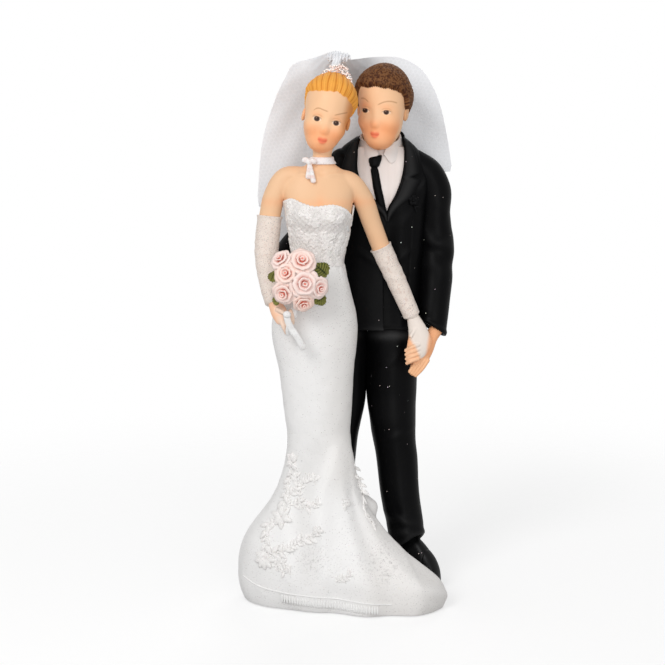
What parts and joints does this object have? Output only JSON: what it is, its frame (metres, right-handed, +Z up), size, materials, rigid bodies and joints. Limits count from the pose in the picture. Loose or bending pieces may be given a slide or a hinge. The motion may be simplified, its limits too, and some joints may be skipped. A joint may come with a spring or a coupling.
{
  "type": "wedding cake topper",
  "caption": "Bride and groom wedding cake topper of painted resin castings: flared white gown, pink rose bouquet, black suit and a tulle veil that lifts at its gather.",
  "frame": {"origin": "on the underside of the base plate, at table level, under the couple", "axes": "+Z up, -Y the way the couple faces, +X from the bride towards the groom"},
  "size_m": [0.0561, 0.0427, 0.1403],
  "materials": {
    "skin": "hand-painted flesh tone, satin",
    "blonde": "painted golden blonde with darker brush strokes, satin",
    "brown": "painted brown with fine strands, satin",
    "gown": "pearl white paint with clear glitter, satin",
    "glove": "blush white paint with glitter, satin",
    "tulle": "open hexagonal net, pale grey-white",
    "ribbon": "white paint, satin",
    "jacket": "black lacquer, semi-gloss",
    "trousers": "black lacquer, semi-gloss",
    "shirt": "warm white paint, matt",
    "tie": "black lacquer, semi-gloss",
    "shoe": "black lacquer, gloss",
    "rose": "pink paint with paler petal edges, satin",
    "leaf": "olive green paint with darker veins, satin",
    "jewel": "white paint with iridescent glitter, gloss"
  },
  "bodies": {
    "figures": {"base_plate": "gown", "bouquet_holder": "ribbon", "bouquet_leaf_1": "leaf", "bouquet_leaf_2": "leaf", "bouquet_leaf_3": "leaf", "bouquet_leaf_4": "leaf", "bouquet_ribbon": "ribbon", "bouquet_rose_1": "rose", "bouquet_rose_2": "rose", "bouquet_rose_3": "rose", "bouquet_rose_4": "rose", "bouquet_rose_5": "rose", "bouquet_rose_6": "rose", "bouquet_rose_7": "rose", "bride_bust": "skin", "bride_chignon": "blonde", "bride_hair": "blonde", "bride_head": "skin", "bride_left_hand": "skin", "bride_left_upper_arm": "skin", "bride_right_hand": "skin", "bride_right_upper_arm": "skin", "buttonhole_flower": "jacket", "choker": "ribbon", "choker_bow": "ribbon", "gown_bodice": "gown", "gown_skirt": "gown", "gown_train": "gown", "groom_hair": "brown", "groom_head": "skin", "groom_left_hand": "skin", "groom_neck": "skin", "groom_right_hand": "skin", "jacket_body": "jacket", "jacket_button": "jacket", "jacket_left_sleeve": "jacket", "jacket_right_sleeve": "jacket", "lapel_left": "jacket", "lapel_right": "jacket", "left_glove": "glove", "left_shoe": "shoe", "right_glove": "glove", "right_shoe": "shoe", "shirt_collar": "shirt", "shirt_front": "shirt", "tiara": "jewel", "tie": "tie", "trousers_left_leg": "trousers", "trousers_right_leg": "trousers", "veil_gather": "tulle"},
    "veil": {"veil_cloth": "tulle"}
  },
  "joints": [
    {"name": "veil_lift", "type": "hinge", "parent": "figures", "child": "veil", "pos_m": [-0.002, 0.0015, 0.1386], "axis": [1, 0, 0], "range_deg": [0, 60]}
  ]
}
